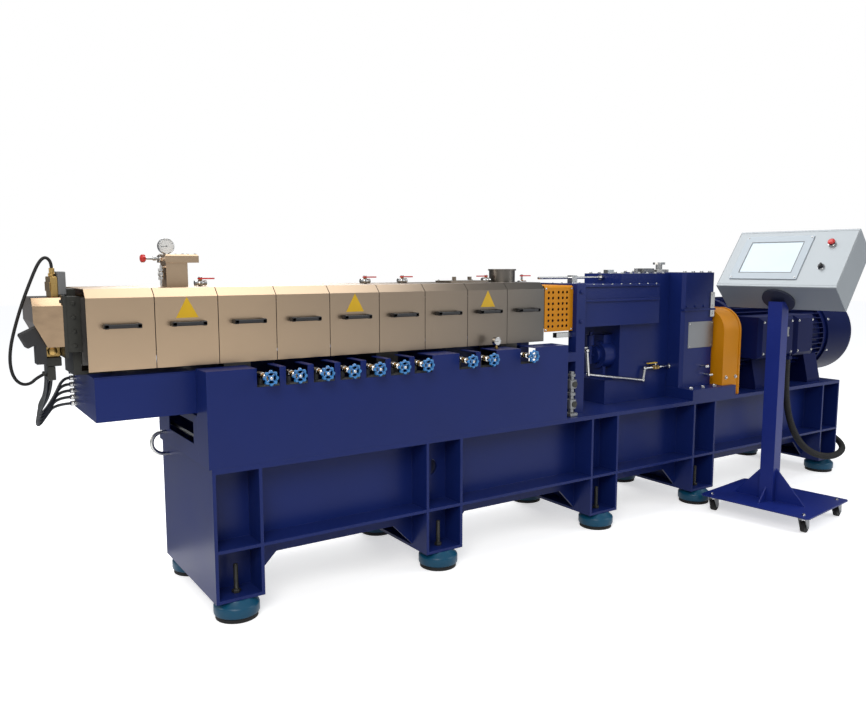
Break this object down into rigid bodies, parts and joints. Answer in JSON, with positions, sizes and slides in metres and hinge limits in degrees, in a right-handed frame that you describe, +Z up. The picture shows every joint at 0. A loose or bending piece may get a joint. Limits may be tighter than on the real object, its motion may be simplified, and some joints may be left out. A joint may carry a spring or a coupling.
{
  "type": "twin-screw extruder",
  "caption": "Twin-screw extruder: sectioned barrel under bright covers with cooling valves, gears and motor on a welded base, with a control stand on casters",
  "frame": {"origin": "on the floor under the middle of the plant's overall box", "axes": "+X along the screws from the die end to the motor, +Y across to the far side from the operator, +Z up"},
  "size_m": [5.4693, 1.4816, 1.6511],
  "materials": {
    "blue_paint": "glossy machine enamel",
    "turquoise_paint": "glossy enamel",
    "orange_paint": "satin powder coat",
    "grey_paint": "satin powder coat",
    "stainless": "brushed",
    "bright_steel": "turned and polished",
    "tool_steel": "ground, oiled",
    "brass": "drawn",
    "black_plastic": "fine grain",
    "black_rubber": "matt",
    "sky_blue_plastic": "moulded",
    "red_plastic": "moulded",
    "yellow_plastic": "dipped",
    "screen_glass": "glossy touch panel"
  },
  "bodies": {
    "machine": {"base_frame": "blue_paint", "foot_pads": "turquoise_paint", "foot_rubbers": "black_rubber", "side_covers": "blue_paint", "cooling_valves": "bright_steel", "cable_duct": "blue_paint", "barrel_covers": "stainless", "cover_handles": "black_plastic", "barrel": "tool_steel", "die_head": "tool_steel", "die_flange": "tool_steel", "die_heaters": "brass", "die_connector": "black_plastic", "heater_conduits": "bright_steel", "die_cable": "black_rubber", "hose_loop": "bright_steel", "vent_stack": "stainless", "charging_ports": "stainless", "top_fittings": "bright_steel", "perforated_screen": "orange_paint", "lantern": "blue_paint", "gear_case": "blue_paint", "gear_reducer": "blue_paint", "gear_fittings": "bright_steel", "oil_pump": "blue_paint", "oil_pipes": "bright_steel", "coupling_guard": "orange_paint", "motor": "blue_paint", "motor_cowl": "blue_paint", "motor_conduit": "black_rubber", "hmi_stand": "blue_paint", "hmi_box": "grey_paint", "hmi_screen": "screen_glass", "stand_fittings": "black_plastic"},
    "handwheel_01": {"handwheel_01": "sky_blue_plastic"},
    "handwheel_02": {"handwheel_02": "sky_blue_plastic"},
    "handwheel_03": {"handwheel_03": "sky_blue_plastic"},
    "handwheel_04": {"handwheel_04": "sky_blue_plastic"},
    "handwheel_05": {"handwheel_05": "sky_blue_plastic"},
    "handwheel_06": {"handwheel_06": "sky_blue_plastic"},
    "handwheel_07": {"handwheel_07": "sky_blue_plastic"},
    "handwheel_08": {"handwheel_08": "sky_blue_plastic"},
    "handwheel_09": {"handwheel_09": "sky_blue_plastic"},
    "handwheel_10": {"handwheel_10": "sky_blue_plastic"},
    "top_lever_1": {"top_lever_1": "red_plastic"},
    "top_lever_2": {"top_lever_2": "red_plastic"},
    "top_lever_3": {"top_lever_3": "red_plastic"},
    "top_lever_4": {"top_lever_4": "red_plastic"},
    "top_lever_5": {"top_lever_5": "red_plastic"},
    "oil_valve_lever": {"oil_valve_lever": "yellow_plastic"},
    "stop_button": {"stop_button": "red_plastic"},
    "selector_knob": {"selector_knob": "black_plastic"},
    "caster_fork_1": {"caster_fork_1": "bright_steel"},
    "caster_wheel_1": {"caster_wheel_1": "black_rubber"},
    "caster_fork_2": {"caster_fork_2": "bright_steel"},
    "caster_wheel_2": {"caster_wheel_2": "black_rubber"},
    "caster_fork_3": {"caster_fork_3": "bright_steel"},
    "caster_wheel_3": {"caster_wheel_3": "black_rubber"},
    "caster_fork_4": {"caster_fork_4": "bright_steel"},
    "caster_wheel_4": {"caster_wheel_4": "black_rubber"}
  },
  "joints": [
    {"name": "handwheel_01_turn", "type": "hinge", "parent": "machine", "child": "handwheel_01", "pos_m": [-1.86311, -0.07223, 1.004], "axis": [0, -1, 0], "range_deg": [0, 1080]},
    {"name": "handwheel_02_turn", "type": "hinge", "parent": "machine", "child": "handwheel_02", "pos_m": [-1.73761, -0.07223, 1.004], "axis": [0, -1, 0], "range_deg": [0, 1080]},
    {"name": "handwheel_03_turn", "type": "hinge", "parent": "machine", "child": "handwheel_03", "pos_m": [-1.61211, -0.07223, 1.004], "axis": [0, -1, 0], "range_deg": [0, 1080]},
    {"name": "handwheel_04_turn", "type": "hinge", "parent": "machine", "child": "handwheel_04", "pos_m": [-1.48661, -0.07223, 1.004], "axis": [0, -1, 0], "range_deg": [0, 1080]},
    {"name": "handwheel_05_turn", "type": "hinge", "parent": "machine", "child": "handwheel_05", "pos_m": [-1.36111, -0.07223, 1.004], "axis": [0, -1, 0], "range_deg": [0, 1080]},
    {"name": "handwheel_06_turn", "type": "hinge", "parent": "machine", "child": "handwheel_06", "pos_m": [-1.23561, -0.07223, 1.004], "axis": [0, -1, 0], "range_deg": [0, 1080]},
    {"name": "handwheel_07_turn", "type": "hinge", "parent": "machine", "child": "handwheel_07", "pos_m": [-1.11011, -0.07223, 1.004], "axis": [0, -1, 0], "range_deg": [0, 1080]},
    {"name": "handwheel_08_turn", "type": "hinge", "parent": "machine", "child": "handwheel_08", "pos_m": [-0.85911, -0.07223, 1.004], "axis": [0, -1, 0], "range_deg": [0, 1080]},
    {"name": "handwheel_09_turn", "type": "hinge", "parent": "machine", "child": "handwheel_09", "pos_m": [-0.73361, -0.07223, 1.004], "axis": [0, -1, 0], "range_deg": [0, 1080]},
    {"name": "handwheel_10_turn", "type": "hinge", "parent": "machine", "child": "handwheel_10", "pos_m": [-0.48261, -0.07223, 1.004], "axis": [0, -1, 0], "range_deg": [0, 1080]},
    {"name": "top_lever_1_turn", "type": "hinge", "parent": "machine", "child": "top_lever_1", "pos_m": [-2.00311, 0.34577, 1.396], "axis": [0, 0, 1], "range_deg": [0, 90]},
    {"name": "top_lever_2_turn", "type": "hinge", "parent": "machine", "child": "top_lever_2", "pos_m": [-1.20211, 0.34577, 1.396], "axis": [0, 0, 1], "range_deg": [0, 90]},
    {"name": "top_lever_3_turn", "type": "hinge", "parent": "machine", "child": "top_lever_3", "pos_m": [-0.99211, 0.34577, 1.396], "axis": [0, 0, 1], "range_deg": [0, 90]},
    {"name": "top_lever_4_turn", "type": "hinge", "parent": "machine", "child": "top_lever_4", "pos_m": [-0.46811, 0.34577, 1.396], "axis": [0, 0, 1], "range_deg": [0, 90]},
    {"name": "top_lever_5_turn", "type": "hinge", "parent": "machine", "child": "top_lever_5", "pos_m": [-0.21811, 0.34577, 1.396], "axis": [0, 0, 1], "range_deg": [0, 90]},
    {"name": "oil_valve_turn", "type": "hinge", "parent": "machine", "child": "oil_valve_lever", "pos_m": [0.69689, 0.17377, 0.866], "axis": [0, 0, 1], "range_deg": [0, 90]},
    {"name": "stop_button_press", "type": "slide", "parent": "machine", "child": "stop_button", "axis": [0.7432, 0.1018, -0.6613], "range_m": [0, 0.004], "stiffness_N_per_m": 600},
    {"name": "selector_turn", "type": "hinge", "parent": "machine", "child": "selector_knob", "pos_m": [1.08617, -0.60629, 1.44906], "axis": [-0.7432, -0.1018, 0.6613], "range_deg": [-45, 45]},
    {"name": "caster_swivel_1", "type": "hinge", "parent": "machine", "child": "caster_fork_1", "pos_m": [0.93936, -0.67586, 0.031], "axis": [0, 0, 1], "continuous": true},
    {"name": "caster_roll_1", "type": "hinge", "parent": "caster_fork_1", "child": "caster_wheel_1", "pos_m": [0.96116, -0.67287, 0.031], "axis": [-0.1357, 0.9907, 0], "continuous": true},
    {"name": "caster_swivel_2", "type": "hinge", "parent": "machine", "child": "caster_fork_2", "pos_m": [0.86716, -0.14878, 0.031], "axis": [0, 0, 1], "continuous": true},
    {"name": "caster_roll_2", "type": "hinge", "parent": "caster_fork_2", "child": "caster_wheel_2", "pos_m": [0.88896, -0.14579, 0.031], "axis": [-0.1357, 0.9907, 0], "continuous": true},
    {"name": "caster_swivel_3", "type": "hinge", "parent": "machine", "child": "caster_fork_3", "pos_m": [1.36736, -0.61723, 0.031], "axis": [0, 0, 1], "continuous": true},
    {"name": "caster_roll_3", "type": "hinge", "parent": "caster_fork_3", "child": "caster_wheel_3", "pos_m": [1.38916, -0.61424, 0.031], "axis": [-0.1357, 0.9907, 0], "continuous": true},
    {"name": "caster_swivel_4", "type": "hinge", "parent": "machine", "child": "caster_fork_4", "pos_m": [1.29516, -0.09015, 0.031], "axis": [0, 0, 1], "continuous": true},
    {"name": "caster_roll_4", "type": "hinge", "parent": "caster_fork_4", "child": "caster_wheel_4", "pos_m": [1.31696, -0.08717, 0.031], "axis": [-0.1357, 0.9907, 0], "continuous": true}
  ]
}
